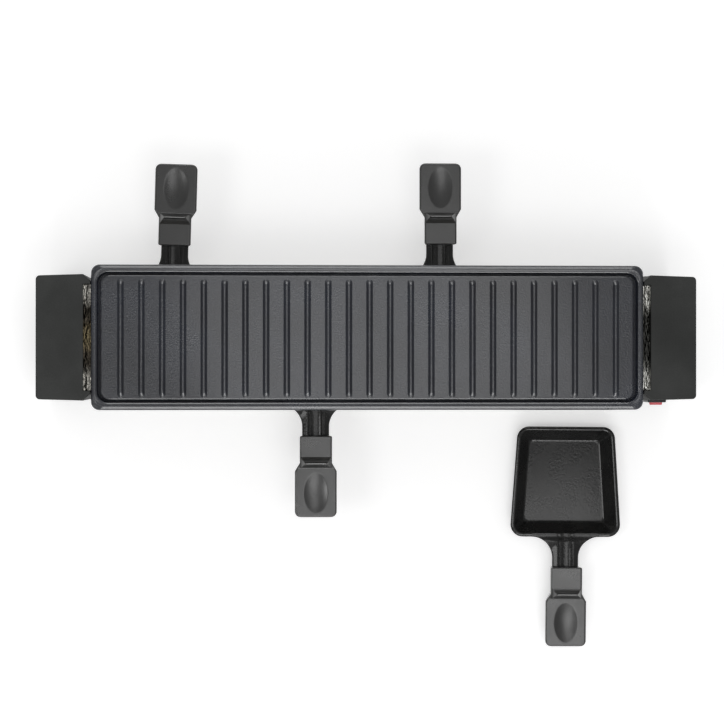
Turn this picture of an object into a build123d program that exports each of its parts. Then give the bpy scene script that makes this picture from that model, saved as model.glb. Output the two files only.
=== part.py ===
from build123d import *
import os
from math import atan, cos, degrees, radians, sin

# Table-top raclette grill with a narrow ribbed plate, two end housings, a pan
# deck between them and four square pans. Millimetres.
# X runs along the grill, +Y to its back, +Z up, and the table is at Z = 0.
# Every piece is modelled about the middle of the grill's body. save() moves it so
# that the origin is under the middle of the whole set, pans included.

# General fits
overrun = 1.0            # how far a cutting shape runs past what it cuts
seat_gap = 0.3           # between pieces of different moving bodies
slip_gap = 0.4           # between a sheet or cover and the walls around it
pin_gap = 0.05           # round a shaft, screw or tube in its hole
sheet = 0.8              # stainless sheet

# Grill plate, cast, with a skirt that stands on the shelves at both ends
plate_length = 400.0
plate_width = 105.0
plate_corner = 8.0
plate_top = 108.0
plate_skirt_height = 11.0
plate_skirt_wall = 3.0
plate_floor = 4.2        # cooking face to underside
plate_rim_width = 4.8
plate_edge_round = 1.0
plate_face_drop = 2.6    # rim top to cooking face
groove_width = 2.6
groove_depth = 1.3
groove_corner = 9.0
rib_count = 25
rib_end_margin = 20.0    # middle of the end ribs to the plate's end
rib_base = 4.8
rib_crest = 1.3
rib_height = 2.0
rib_side_margin = 10.5   # rib's end to the plate's side
lug_radius = 2.5
lug_length = 9.0
lug_inset = 10.5         # lug to the end of the plate
lug_spread = 40.0        # between the two lugs of one end
lug_gap = 0.7

# End housings, moulded
block_gap = 5.7          # plate's end to the inner edge of the top
block_length = 34.3
block_set_in = 7.0       # plate's side to the housing's side
block_taper = 0.85       # how much each side draws in towards the outer end
block_bottom = 4.0
block_below = 2.0        # inner edge of the top below the plate's rim
block_fall = 5.0         # how much the top falls towards the outer end
block_wall = 2.6
block_corner = 3.0
block_edge_round = 1.2
cheek_gap = 0.6          # plate end to cheek
cheek_set_in = 11.5      # plate's side to the cheek's outer edge
cheek_wall = 2.4

# Rubber feet and the covers that they stand under
foot_radius = 7.0
foot_plug_radius = 2.5
foot_set_in = 22.5       # housing's side to the foot's axis
cover_thickness = 2.2
cover_boss_radius = 3.7
cover_boss_height = 8.0
cover_boss_set_in = 5.5  # housing's side to the boss axis
cover_boss_inset = 7.0   # boss axis to each end of the cover

# Screws
screw_radius = 1.45
screw_head_radius = 2.7
screw_head_height = 1.8
cover_screw_length = 8.0
shield_screw_length = 9.0
sheet_screw_length = 4.5
boss_radius = 3.6

# Heat shields, stainless walls between the hot middle and the housings
shield_gap = 0.7         # housing's inner edge to the shield's face
shield_foot = 6.6
shelf_margin = 1.5       # lug's hole to the end of the shelf
shield_screw_set_in = 5.2
shield_screw_low = 17.0
shield_screw_drop = 18.0 # below the housing's top

# Pan deck
deck_top = 34.0
deck_set_in = 4.5        # plate's side to the deck's side
deck_side_flange = 10.0
deck_end_flange = 12.0
deck_screw_side = 15.0
deck_screw_drop = 7.0    # below the deck's top

# Rails under the plate
rail_flange = 8.0
rail_screw_inset = 13.5

# Heating element, a hairpin tube
tube_radius = 3.25
tube_drop = 15.2         # plate's underside to the tube's axis
tube_bend_set_in = 35.0  # plate's end to the start of the bend
tube_past_shield = 6.6
bracket_thickness = 1.0
bracket_height = 12.0
bracket_place_shares = (-0.375, -0.025, 0.325)  # of the plate's length
bushing_radius = 5.2
bushing_length = 8.0
bushing_inner_length = 3.4
bushing_flange_radius = 6.6
bushing_boss_gap = 0.4   # bushing to the screw boss beside it
bushing_flange = 1.5
tab_width = 6.3
tab_thickness = 0.8
tab_length = 10.0

# Thermal cut-out on the right shield
cutout_drop = 6.0        # below the element
cutout_radius = 8.0
cutout_depth = 9.0
cutout_flange_width = 10.0
cutout_flange_height = 28.0
cutout_flange_thickness = 1.0
cutout_tab_spread = 8.0
cutout_tab_length = 7.0
cutout_screw_spread = 22.0

# Power switch, a red rocker in a black frame on the front of the right housing
switch_set_in = 9.1      # housing's inner edge to the switch's middle
switch_boss_gap = 5.2    # top of the switch to the screw boss above it
switch_width = 11.0
switch_tall = 18.4
switch_depth = 22.0      # behind the housing's face
bezel_width = 13.5
bezel_tall = 20.8
bezel_thickness = 2.0
rocker_width = 9.2
rocker_tall = 14.0
rocker_side_gap = 0.2
rocker_well = 16.4       # height of the well that it swings in
rocker_well_depth = 9.5  # behind the housing's face
rocker_crown = 5.2       # pivot to the ends of the pressed face
rocker_dip = 4.2         # pivot to the middle of the pressed face
rocker_tail = 4.0        # pivot to the back of the rocker
rocker_tail_tall = 6.0
rocker_pivot_inset = 2.5 # pivot behind the housing's face
rocker_tilt = 10.0       # degrees each way from level
rocker_round = 0.8
pivot_radius = 0.8
pivot_length = 10.6
switch_tab_width = 4.8
switch_tab_spread = 8.0
switch_tab_length = 8.0

# Mains inlet on the back of the right housing
inlet_boss_gap = 5.9     # bottom of the inlet to the screw boss below it
inlet_width = 20.0
inlet_tall = 27.0
inlet_depth = 21.5       # behind the housing's face
inlet_flange = 2.0       # wider than the body on each side
inlet_flange_thickness = 1.5
inlet_well_wall = 2.2
inlet_well_depth = 16.0
inlet_well_corner = 2.5
blade_width = 4.0
blade_thickness = 2.0
blade_length = 12.0
blade_spread = 14.0
blade_offset = 2.0       # each side of the inlet's middle line
inlet_tab_length = 7.0

# Inner leads
lead_radius = 1.3
lead_bend = 3.4
lead_lane_set_in = 8.0   # housing's outer end to the lane that the leads run in
lead_exit = 8.0          # straight run out of a tab
earth_drop = 3.0         # below the deck's end flange

# Pan, pressed sheet with its neck in one piece. Local y runs from the dish to the
# grip, and z is up from the underside of the floor.
pan_length = 84.2
pan_far_width = 74.4
pan_near_width = 85.6
pan_depth = 12.6
pan_sheet = 1.2
pan_corner = 9.5
pan_rim = 2.9
pan_floor_inset = 10.6   # rim edge to the floor's edge
pan_floor_corner = 3.2
neck_half = 9.85
neck_flare = 16.0
neck_rise = 4.0
neck_flat = 4.0          # level run beyond the rim
channel_half = 5.5
channel_height = 1.8
tongue_length = 18.0
tongue_channel = 6.0     # how far the channel runs into the grip

# Grip on the pan's neck
grip_gap = 23.6          # dish rim to grip
grip_length = 60.9
grip_low = 9.5
sleeve_half = 11.8
sleeve_length = 20.3
sleeve_top = 21.5
sleeve_corner = 1.5
grip_flare = 4.3         # length of the chamfer from sleeve to pad
pad_half = 15.4
pad_top = 19.0
pad_corner = 4.4
grip_edge_round = 1.1
guard_base = 8.9
guard_crest = 0.9
guard_crest_back = 3.4   # pad's start to the middle of the crest
guard_height = 5.0       # above the sleeve
guard_side_margin = 0.8  # sleeve's side to the guard's foot
guard_half = 8.4         # half the crest's length
dimple_half_width = 9.0
dimple_half_length = 15.2
dimple_depth = 2.0
dimple_from_end = 18.2
grip_screw_place = 12.0  # from the grip's start
grip_screw_radius = 2.0
grip_screw_head = 3.8
grip_screw_head_height = 2.2
grip_screw_length = 8.0

# Where the middles of the dishes are: along the grill as a share of the plate's
# length, and across it from the plate's side that the grip sticks out from
rear_left_share = -0.36
rear_left_set_in = 49.1
rear_left_turn = -1.5    # degrees
rear_right_share = 0.141
rear_right_set_in = 47.6
front_share = -0.09225
front_set_in = 45.4
free_share = 0.39175
free_set_out = 57.1

# Derived places
plate_bottom = plate_top - plate_skirt_height
plate_face = plate_top - plate_face_drop
plate_under = plate_face - plate_floor
plate_side = plate_width / 2
plate_end = plate_length / 2
rib_pitch = (plate_length - 2 * rib_end_margin) / (rib_count - 1)
rib_length = plate_width - 2 * rib_side_margin
shelf_z = plate_bottom - sheet
block_inner = plate_end + block_gap
block_outer = block_inner + block_length
block_top = plate_top - block_below
block_half = plate_side - block_set_in
cavity_half = block_half - block_taper - block_wall
cheek_end = plate_end + cheek_gap
cheek_depth = plate_side - cheek_set_in
cheek_opening = cheek_depth - cheek_wall
shield_face = block_inner + shield_gap
shield_back = shield_face + sheet
shield_top = block_top - block_wall - slip_gap - block_fall * (shield_back - block_inner) / block_length
shelf_half = cheek_opening - slip_gap
shield_screw_side = shelf_half - shield_screw_set_in
shield_screw_high = block_top - shield_screw_drop
cover_start = shield_face - slip_gap
cover_end = block_outer - block_wall - slip_gap
cover_top = block_bottom + cover_thickness
cover_middle = (cover_start + cover_end) / 2
foot_spread = 2 * (block_half - foot_set_in)
cover_boss_side = block_half - cover_boss_set_in
boss_x_spread = cover_end - cover_start - 2 * cover_boss_inset
boss_reach = block_outer - block_wall / 2 - shield_back
tube_height = plate_under - tube_drop
tube_spread = 2 * (shield_screw_side - boss_radius - bushing_flange_radius - bushing_boss_gap)
tube_bend_x = plate_end - tube_bend_set_in
tube_end_x = shield_face + tube_past_shield
cutout_height = tube_height - cutout_drop
rail_web = shelf_half - sheet
rail_foot = tube_height - bracket_height / 2
lug_x = plate_end - lug_inset
shelf_reach = shield_face - lug_x + lug_radius + lug_gap + shelf_margin
rail_screw_x = shield_face - rail_screw_inset
rail_screw_y = shelf_half - rail_flange / 2
deck_width = plate_width - 2 * deck_set_in
earth_height = deck_top - deck_end_flange - earth_drop
lead_lane_x = block_outer - lead_lane_set_in
switch_x = block_inner + switch_set_in
switch_height = shield_screw_high - boss_radius - switch_boss_gap - switch_tall / 2
inlet_x = (shield_back + block_outer - block_wall) / 2
inlet_height = shield_screw_low + boss_radius + inlet_boss_gap + inlet_tall / 2
pan_half = pan_length / 2
grip_start = pan_half + grip_gap
grip_end = grip_start + grip_length
sleeve_end = grip_start + sleeve_length
pad_start = sleeve_end + grip_flare
guard_middle = pad_start - guard_crest_back
tongue_z = pan_depth - pan_sheet + neck_rise
pan_on_deck = deck_top + seat_gap
rear_left_x = rear_left_share * plate_length
rear_left_y = plate_side - rear_left_set_in
rear_right_x = rear_right_share * plate_length
rear_right_y = plate_side - rear_right_set_in
front_x = front_share * plate_length
front_y = front_set_in - plate_side
free_x = free_share * plate_length
free_y = -plate_side - free_set_out
body_y = -(free_y + rear_right_y) / 2


def save(piece, name):
    """Moves a finished piece into the frame of the whole set and writes it."""
    placed = piece.moved(Location((0, body_y, 0)))
    placed.label = name
    export_step(placed, f"parts/{name}.step")


def screw_shape(radius, head_radius, head_height, length):
    """Pan-head screw, pointing down, with the underside of its head at the origin."""
    with BuildPart() as screw:
        with BuildSketch():
            Circle(head_radius)
        extrude(amount=head_height)
        with BuildSketch():
            Circle(radius)
        extrude(amount=-length)
    return screw.part


def place_screws(shape, planes):
    """Puts a copy of the screw on each plane, its head along the plane's normal."""
    with BuildPart() as screws:
        with Locations(*planes):
            add(shape)
    return screws.part


def grill_plate():
    """Shallow cast plate: rim, fat groove, cross ribs, hollow underside and lugs."""
    rim_inner = (plate_length - 2 * plate_rim_width, plate_width - 2 * plate_rim_width)
    face_size = [size - 2 * groove_width for size in rim_inner]
    rib_taper = degrees(atan((rib_base - rib_crest) / 2 / rib_height))
    with BuildPart() as plate:
        with BuildSketch(Plane.XY.offset(plate_bottom)):
            RectangleRounded(plate_length, plate_width, plate_corner)
        extrude(amount=plate_skirt_height)
        fillet(plate.faces().sort_by(Axis.Z)[-1].edges(), plate_edge_round)
        with BuildSketch(Plane.XY.offset(plate_top)):
            RectangleRounded(*rim_inner, groove_corner)
        extrude(amount=-plate_face_drop, mode=Mode.SUBTRACT)
        with BuildSketch(Plane.XY.offset(plate_face)):
            RectangleRounded(*rim_inner, groove_corner)
            RectangleRounded(*face_size, groove_corner - groove_width, mode=Mode.SUBTRACT)
        extrude(amount=-groove_depth, mode=Mode.SUBTRACT)
        with BuildSketch(Plane.XY.offset(plate_face)):
            with GridLocations(rib_pitch, plate_width, rib_count, 1):
                Rectangle(rib_base, rib_length)
        extrude(amount=rib_height, taper=rib_taper)
        with BuildSketch(Plane.XY.offset(plate_bottom)):
            RectangleRounded(
                plate_length - 2 * plate_skirt_wall,
                plate_width - 2 * plate_skirt_wall,
                plate_corner - plate_skirt_wall,
            )
        extrude(amount=plate_under - plate_bottom, mode=Mode.SUBTRACT)
        with BuildSketch(Plane.XY.offset(plate_under)):
            with GridLocations(2 * lug_x, lug_spread, 2, 2):
                Circle(lug_radius)
        extrude(amount=-lug_length)
    return plate.part


def housing(has_controls):
    """Right-hand end housing, open below and towards the heat shield."""
    outer_half = block_half - block_taper
    plan = [
        (cheek_end, -cheek_depth), (block_inner, -block_half), (block_outer, -outer_half),
        (block_outer, outer_half), (block_inner, block_half), (cheek_end, cheek_depth),
    ]
    slope = block_fall / block_length
    with BuildPart() as shell:
        with BuildSketch(Plane.XY.offset(block_bottom)) as outline:
            Polygon(*plan, align=None)
            fillet(outline.vertices().group_by(Axis.X)[-1], block_corner)
        extrude(amount=plate_top - block_bottom)
        with BuildSketch(Plane.XZ):
            Polygon(
                (cheek_end, block_bottom), (block_outer, block_bottom),
                (block_outer, block_top - block_fall),
                (cheek_end, block_top + slope * (block_inner - cheek_end)),
                align=None,
            )
        extrude(amount=block_half, both=True, mode=Mode.INTERSECT)
        top = shell.faces().sort_by(Axis.Z)[-1]
        fillet(top.edges().sort_by(Axis.X)[1:], block_edge_round)
        with BuildSketch(Plane.XZ):
            Polygon(
                (block_inner, block_bottom - overrun),
                (block_outer - block_wall, block_bottom - overrun),
                (block_outer - block_wall, block_top - block_fall - block_wall),
                (block_inner, block_top - block_wall),
                align=None,
            )
        extrude(amount=cavity_half, both=True, mode=Mode.SUBTRACT)
        with BuildSketch(Plane.XY.offset(block_bottom - overrun)):
            with Locations((cheek_end - overrun, 0)):
                Rectangle(
                    block_inner - cheek_end + overrun, 2 * cheek_opening, align=(Align.MIN, Align.CENTER)
                )
        extrude(amount=plate_top, mode=Mode.SUBTRACT)
        with BuildSketch(Plane.YZ.offset(shield_back)):
            with Locations(*shield_screw_places()):
                Circle(boss_radius)
        extrude(amount=boss_reach)
        with BuildSketch(Plane.XY.offset(cover_top)):
            with Locations((cover_middle, 0)):
                with GridLocations(boss_x_spread, 2 * cover_boss_side, 2, 2):
                    Circle(cover_boss_radius)
        extrude(amount=cover_boss_height)
        with BuildSketch(Plane.YZ.offset(shield_back)):
            with Locations(*shield_screw_places()):
                Circle(screw_radius + pin_gap)
        extrude(amount=shield_screw_length, mode=Mode.SUBTRACT)
        with BuildSketch(Plane.XY.offset(cover_top)):
            with Locations((cover_middle, 0)):
                with GridLocations(boss_x_spread, 2 * cover_boss_side, 2, 2):
                    Circle(screw_radius + pin_gap)
        extrude(amount=cover_screw_length, mode=Mode.SUBTRACT)
        if has_controls:
            with BuildSketch(Plane.XZ.offset(block_half)):
                with Locations((switch_x, switch_height)):
                    Rectangle(switch_width + 2 * pin_gap, switch_tall + 2 * pin_gap)
            extrude(amount=cavity_half - block_half - overrun, mode=Mode.SUBTRACT)
            with BuildSketch(Plane.XZ.offset(-block_half)):
                with Locations((inlet_x, inlet_height)):
                    Rectangle(inlet_width + 2 * pin_gap, inlet_tall + 2 * pin_gap)
            extrude(amount=block_half - cavity_half + overrun, mode=Mode.SUBTRACT)
    return shell.part


def shield_screw_places():
    """Places of the four screws of one shield, as (y, z)."""
    return [
        (side * shield_screw_side, height)
        for side in (-1, 1)
        for height in (shield_screw_low, shield_screw_high)
    ]


def cover():
    """Right-hand base cover with screw and foot holes."""
    with BuildPart() as plate:
        with BuildSketch(Plane.XY.offset(block_bottom)):
            with Locations((cover_middle, 0)):
                Rectangle(cover_end - cover_start, 2 * (cavity_half - slip_gap))
        extrude(amount=cover_thickness)
        with BuildSketch(Plane.XY.offset(block_bottom)):
            with Locations((cover_middle, 0)):
                with GridLocations(boss_x_spread, 2 * cover_boss_side, 2, 2):
                    Circle(screw_radius + pin_gap)
                with GridLocations(block_length, foot_spread, 1, 2):
                    Circle(foot_plug_radius + pin_gap)
        extrude(amount=cover_thickness, mode=Mode.SUBTRACT)
    return plate.part


def heat_shield(is_right):
    """Right-hand shield: a wall with the shelf that carries the plate and the rails."""
    with BuildPart() as shield:
        with BuildSketch(Plane.YZ.offset(shield_face)):
            with Locations((0, shield_foot)):
                Rectangle(
                    2 * (cavity_half - slip_gap), shield_top - shield_foot, align=(Align.CENTER, Align.MIN)
                )
            with Locations(*shield_screw_places()):
                Circle(screw_radius + pin_gap, mode=Mode.SUBTRACT)
            with Locations(*[(side * deck_screw_side, deck_top - deck_screw_drop) for side in (-1, 1)]):
                Circle(screw_radius + pin_gap, mode=Mode.SUBTRACT)
            if is_right:
                with Locations(*[(side * tube_spread / 2, tube_height) for side in (-1, 1)]):
                    Circle(bushing_radius + pin_gap, mode=Mode.SUBTRACT)
                with Locations(*[(0, cutout_height + side * cutout_screw_spread / 2) for side in (-1, 1)]):
                    Circle(screw_radius + pin_gap, mode=Mode.SUBTRACT)
                with Locations((0, earth_height)):
                    Circle(screw_radius + pin_gap, mode=Mode.SUBTRACT)
        extrude(amount=sheet)
        with BuildSketch(Plane.XY.offset(shelf_z)):
            with Locations((shield_face, 0)):
                Rectangle(shelf_reach, 2 * shelf_half, align=(Align.MAX, Align.CENTER))
            with Locations((lug_x, -lug_spread / 2), (lug_x, lug_spread / 2)):
                Circle(lug_radius + lug_gap, mode=Mode.SUBTRACT)
            with Locations((rail_screw_x, -rail_screw_y), (rail_screw_x, rail_screw_y)):
                Circle(screw_radius + pin_gap, mode=Mode.SUBTRACT)
        extrude(amount=sheet)
    return shield.part


def deck():
    """Sheet that the pans stand on, its four edges turned down."""
    main_length = 2 * (cheek_end - slip_gap)
    end_width = 2 * shelf_half
    with BuildPart() as tray:
        with BuildSketch(Plane.XY.offset(deck_top)):
            Rectangle(main_length, deck_width)
            Rectangle(2 * shield_face, end_width)
        extrude(amount=-sheet)
        with BuildSketch(Plane.XY.offset(deck_top)):
            with GridLocations(main_length, deck_width - sheet, 1, 2):
                Rectangle(main_length, sheet)
        extrude(amount=-deck_side_flange)
        with BuildSketch(Plane.XY.offset(deck_top)):
            with GridLocations(2 * shield_face - sheet, end_width, 2, 1):
                Rectangle(sheet, end_width)
        extrude(amount=-deck_end_flange)
        with BuildSketch(Plane.YZ.offset(-shield_face)):
            with Locations(*[(side * deck_screw_side, deck_top - deck_screw_drop) for side in (-1, 1)]):
                Circle(screw_radius + pin_gap)
        extrude(amount=2 * shield_face, mode=Mode.SUBTRACT)
    return tray.part


def rear_rail():
    """Angle that ties the shields together under the plate's back edge."""
    with BuildPart() as rail:
        with BuildSketch(Plane.YZ.offset(-shield_face)):
            with Locations((shelf_half, rail_foot)):
                Rectangle(sheet, shelf_z - rail_foot, align=(Align.MAX, Align.MIN))
            with Locations((shelf_half, shelf_z)):
                Rectangle(rail_flange, sheet, align=(Align.MAX, Align.MAX))
        extrude(amount=2 * shield_face)
        with BuildSketch(Plane.XY.offset(shelf_z)):
            with Locations((-rail_screw_x, rail_screw_y), (rail_screw_x, rail_screw_y)):
                Circle(screw_radius + pin_gap)
        extrude(amount=-sheet, mode=Mode.SUBTRACT)
    return rail.part


def heating_element():
    """Hairpin tube: two straight legs and a half-round bend at the left."""
    leg = tube_spread / 2
    with BuildPart() as element:
        with BuildLine() as path:
            Line((tube_end_x, -leg, tube_height), (-tube_bend_x, -leg, tube_height))
            ThreePointArc(
                (-tube_bend_x, -leg, tube_height),
                (-tube_bend_x - leg, 0, tube_height),
                (-tube_bend_x, leg, tube_height),
            )
            Line((-tube_bend_x, leg, tube_height), (tube_end_x, leg, tube_height))
        with BuildSketch(Plane(origin=path.line @ 0, z_dir=path.line % 0)):
            Circle(tube_radius)
        sweep()
    return element.part


def element_bracket(place):
    """Cross plate between the rails that holds both legs of the element."""
    with BuildPart() as bracket:
        with BuildSketch(Plane.YZ.offset(place)):
            with Locations((0, rail_foot)):
                Rectangle(2 * rail_web, bracket_height, align=(Align.CENTER, Align.MIN))
            with Locations((-tube_spread / 2, tube_height), (tube_spread / 2, tube_height)):
                Circle(tube_radius + pin_gap, mode=Mode.SUBTRACT)
        extrude(amount=bracket_thickness)
    return bracket.part


def element_bushings():
    """Two flanged ceramic rings where the legs pass through the right shield."""
    with BuildPart() as rings:
        legs = [(side * tube_spread / 2, tube_height) for side in (-1, 1)]
        with BuildSketch(Plane.YZ.offset(shield_face - bushing_inner_length)):
            with Locations(*legs):
                Circle(bushing_radius)
        extrude(amount=bushing_length)
        with BuildSketch(Plane.YZ.offset(shield_back)):
            with Locations(*legs):
                Circle(bushing_flange_radius)
        extrude(amount=bushing_flange)
        with BuildSketch(Plane.YZ.offset(shield_face - bushing_inner_length)):
            with Locations(*legs):
                Circle(tube_radius + pin_gap)
        extrude(amount=bushing_length, mode=Mode.SUBTRACT)
    return rings.part


def element_terminals():
    """Flat tabs on the cold ends of the element."""
    with BuildPart() as tabs:
        with BuildSketch(Plane.YZ.offset(tube_end_x)):
            with Locations((-tube_spread / 2, tube_height), (tube_spread / 2, tube_height)):
                Rectangle(tab_thickness, tab_width)
        extrude(amount=tab_length)
    return tabs.part


def thermal_cutout():
    """Round thermostat body with its oval mounting plate."""
    with BuildPart() as body:
        with BuildSketch(Plane.YZ.offset(shield_back)):
            with Locations((0, cutout_height)):
                SlotOverall(cutout_flange_height, cutout_flange_width, rotation=90)
            with Locations(*[(0, cutout_height + side * cutout_screw_spread / 2) for side in (-1, 1)]):
                Circle(screw_radius + pin_gap, mode=Mode.SUBTRACT)
        extrude(amount=cutout_flange_thickness)
        with BuildSketch(Plane.YZ.offset(shield_back)):
            with Locations((0, cutout_height)):
                Circle(cutout_radius)
        extrude(amount=cutout_depth)
    return body.part


def cutout_terminals():
    """Two tabs on the back of the thermal cut-out."""
    with BuildPart() as tabs:
        with BuildSketch(Plane.YZ.offset(shield_back + cutout_depth)):
            with Locations(*[(0, cutout_height + side * cutout_tab_spread / 2) for side in (-1, 1)]):
                Rectangle(tab_width, tab_thickness)
        extrude(amount=cutout_tab_length)
    return tabs.part


def switch_body():
    """Switch frame: bezel outside the housing, body behind it, well for the rocker."""
    with BuildPart() as body:
        with BuildSketch(Plane.XZ.offset(block_half)):
            with Locations((switch_x, switch_height)):
                Rectangle(switch_width, switch_tall)
        extrude(amount=-switch_depth)
        with BuildSketch(Plane.XZ.offset(block_half)):
            with Locations((switch_x, switch_height)):
                Rectangle(bezel_width, bezel_tall)
        extrude(amount=bezel_thickness)
        fillet(body.faces().sort_by(Axis.Y)[0].edges(), rocker_round)
        with BuildSketch(Plane.XZ.offset(block_half + bezel_thickness)):
            with Locations((switch_x, switch_height)):
                Rectangle(rocker_width + 2 * rocker_side_gap, rocker_well)
        extrude(amount=-bezel_thickness - rocker_well_depth, mode=Mode.SUBTRACT)
        with BuildSketch(Plane.YZ.offset(switch_x)):
            with Locations((rocker_pivot_inset - block_half, switch_height)):
                Circle(pivot_radius + pin_gap)
        extrude(amount=pivot_length / 2 + pin_gap, both=True, mode=Mode.SUBTRACT)
    return body.part


def switch_rocker():
    """Rocker with a dished face, tilted to its off position: the top stands out."""
    half = rocker_tall / 2
    tail_half = rocker_tail_tall / 2
    pivot = (switch_x, rocker_pivot_inset - block_half, switch_height)
    tilt = radians(rocker_tilt)
    seat = Plane(origin=pivot, x_dir=(0, -cos(tilt), -sin(tilt)), z_dir=(-1, 0, 0))
    with BuildPart() as rocker:
        with BuildSketch(seat) as outline:
            with BuildLine():
                face = ThreePointArc((rocker_crown, -half), (rocker_dip, 0), (rocker_crown, half))
                Polyline(
                    face @ 1, (0, half), (-rocker_tail, tail_half), (-rocker_tail, -tail_half), (0, -half), face @ 0
                )
            make_face()
            fillet(outline.vertices().group_by(Axis.Y)[0], rocker_round)
            Circle(pivot_radius + pin_gap, mode=Mode.SUBTRACT)
        extrude(amount=rocker_width / 2, both=True)
    return rocker.part


def switch_pivot_pin():
    """Steel pin that the rocker swings on."""
    with BuildPart() as pin:
        with BuildSketch(Plane.YZ.offset(switch_x)):
            with Locations((rocker_pivot_inset - block_half, switch_height)):
                Circle(pivot_radius)
        extrude(amount=pivot_length / 2, both=True)
    return pin.part


def switch_terminals():
    """Two tabs on the back of the switch."""
    with BuildPart() as tabs:
        with BuildSketch(Plane.XZ.offset(block_half - switch_depth)):
            with Locations(*[(switch_x, switch_height + side * switch_tab_spread / 2) for side in (-1, 1)]):
                Rectangle(switch_tab_width, tab_thickness)
        extrude(amount=-switch_tab_length)
    return tabs.part


def inlet_blade_places():
    """Live, neutral and earth blades of the inlet, as (x, z)."""
    return [
        (inlet_x - blade_offset, inlet_height + blade_spread / 2),
        (inlet_x - blade_offset, inlet_height - blade_spread / 2),
        (inlet_x + blade_offset, inlet_height),
    ]


def inlet_body():
    """Mains inlet: flange outside the housing and a deep well for the plug."""
    with BuildPart() as body:
        with BuildSketch(Plane.XZ.offset(-block_half)):
            with Locations((inlet_x, inlet_height)):
                Rectangle(inlet_width, inlet_tall)
        extrude(amount=inlet_depth)
        with BuildSketch(Plane.XZ.offset(-block_half)):
            with Locations((inlet_x, inlet_height)):
                RectangleRounded(
                    inlet_width + 2 * inlet_flange, inlet_tall + 2 * inlet_flange, inlet_well_corner
                )
        extrude(amount=-inlet_flange_thickness)
        with BuildSketch(Plane.XZ.offset(-block_half - inlet_flange_thickness)):
            with Locations((inlet_x, inlet_height)):
                RectangleRounded(
                    inlet_width - 2 * inlet_well_wall, inlet_tall - 2 * inlet_well_wall, inlet_well_corner
                )
        extrude(amount=inlet_well_depth, mode=Mode.SUBTRACT)
        with BuildSketch(Plane.XZ.offset(inlet_depth - block_half)):
            with Locations(*inlet_blade_places()):
                Rectangle(blade_thickness + 2 * pin_gap, blade_width + 2 * pin_gap)
        extrude(amount=-inlet_depth, mode=Mode.SUBTRACT)
    return body.part


def inlet_blades():
    """Three blades that run through the inlet and end in its rear tabs."""
    well_floor = block_half + inlet_flange_thickness - inlet_well_depth
    rear_end = block_half - inlet_depth - inlet_tab_length
    with BuildPart() as blades:
        with BuildSketch(Plane.XZ.offset(-rear_end)):
            with Locations(*inlet_blade_places()):
                Rectangle(blade_thickness, blade_width)
        extrude(amount=rear_end - well_floor - blade_length)
    return blades.part


def lead(points):
    """Insulated lead along straight runs joined by round bends."""
    with BuildPart() as wire:
        with BuildLine() as path:
            FilletPolyline(*points, radius=lead_bend)
        with BuildSketch(Plane(origin=path.line @ 0, z_dir=path.line % 0)):
            Circle(lead_radius)
        sweep()
    return wire.part


def lead_routes():
    """Routes of the five leads, each from one tab to the next."""
    inlet_tab_y = block_half - inlet_depth - inlet_tab_length
    switch_tab_y = switch_depth + switch_tab_length - block_half
    cutout_tab_x = shield_back + cutout_depth + cutout_tab_length
    element_tab_x = tube_end_x + tab_length
    leg = tube_spread / 2
    live, neutral, earth = inlet_blade_places()
    switch_high = switch_height + switch_tab_spread / 2
    switch_low = switch_height - switch_tab_spread / 2
    cutout_low = cutout_height - cutout_tab_spread / 2
    cutout_high = cutout_height + cutout_tab_spread / 2
    screw_face = shield_back + screw_head_height
    return {
        "live_lead": [
            (live[0], inlet_tab_y, live[1]),
            (live[0], inlet_tab_y - lead_exit, live[1]),
            (switch_x, switch_tab_y + lead_exit, switch_high),
            (switch_x, switch_tab_y, switch_high),
        ],
        "switched_lead": [
            (switch_x, switch_tab_y, switch_low),
            (switch_x, switch_tab_y + lead_exit, switch_low),
            (lead_lane_x, 0, cutout_low - lead_exit),
            (lead_lane_x, 0, cutout_low),
            (cutout_tab_x, 0, cutout_low),
        ],
        "element_lead": [
            (cutout_tab_x, 0, cutout_high),
            (lead_lane_x, 0, cutout_high),
            (lead_lane_x, -leg, tube_height),
            (element_tab_x, -leg, tube_height),
        ],
        "neutral_lead": [
            (neutral[0], inlet_tab_y, neutral[1]),
            (neutral[0], inlet_tab_y - lead_exit / 2, neutral[1]),
            (lead_lane_x, inlet_tab_y - lead_exit / 2, neutral[1] + lead_exit),
            (lead_lane_x, leg, tube_height),
            (element_tab_x, leg, tube_height),
        ],
        "earth_lead": [
            (earth[0], inlet_tab_y, earth[1]),
            (earth[0], inlet_tab_y - lead_exit, earth[1]),
            (inlet_x, 0, earth_height),
            (screw_face, 0, earth_height),
        ],
    }


def pan_outline(inset):
    """Corners of the dish seen from above: wider towards the grip."""
    run = (pan_near_width - pan_far_width) / 2 / pan_length
    half_far = pan_far_width / 2 - inset + run * inset
    half_near = pan_near_width / 2 - inset - run * inset
    end = pan_half - inset
    return [(-half_far, -end), (half_far, -end), (half_near, end), (-half_near, end)]


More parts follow.
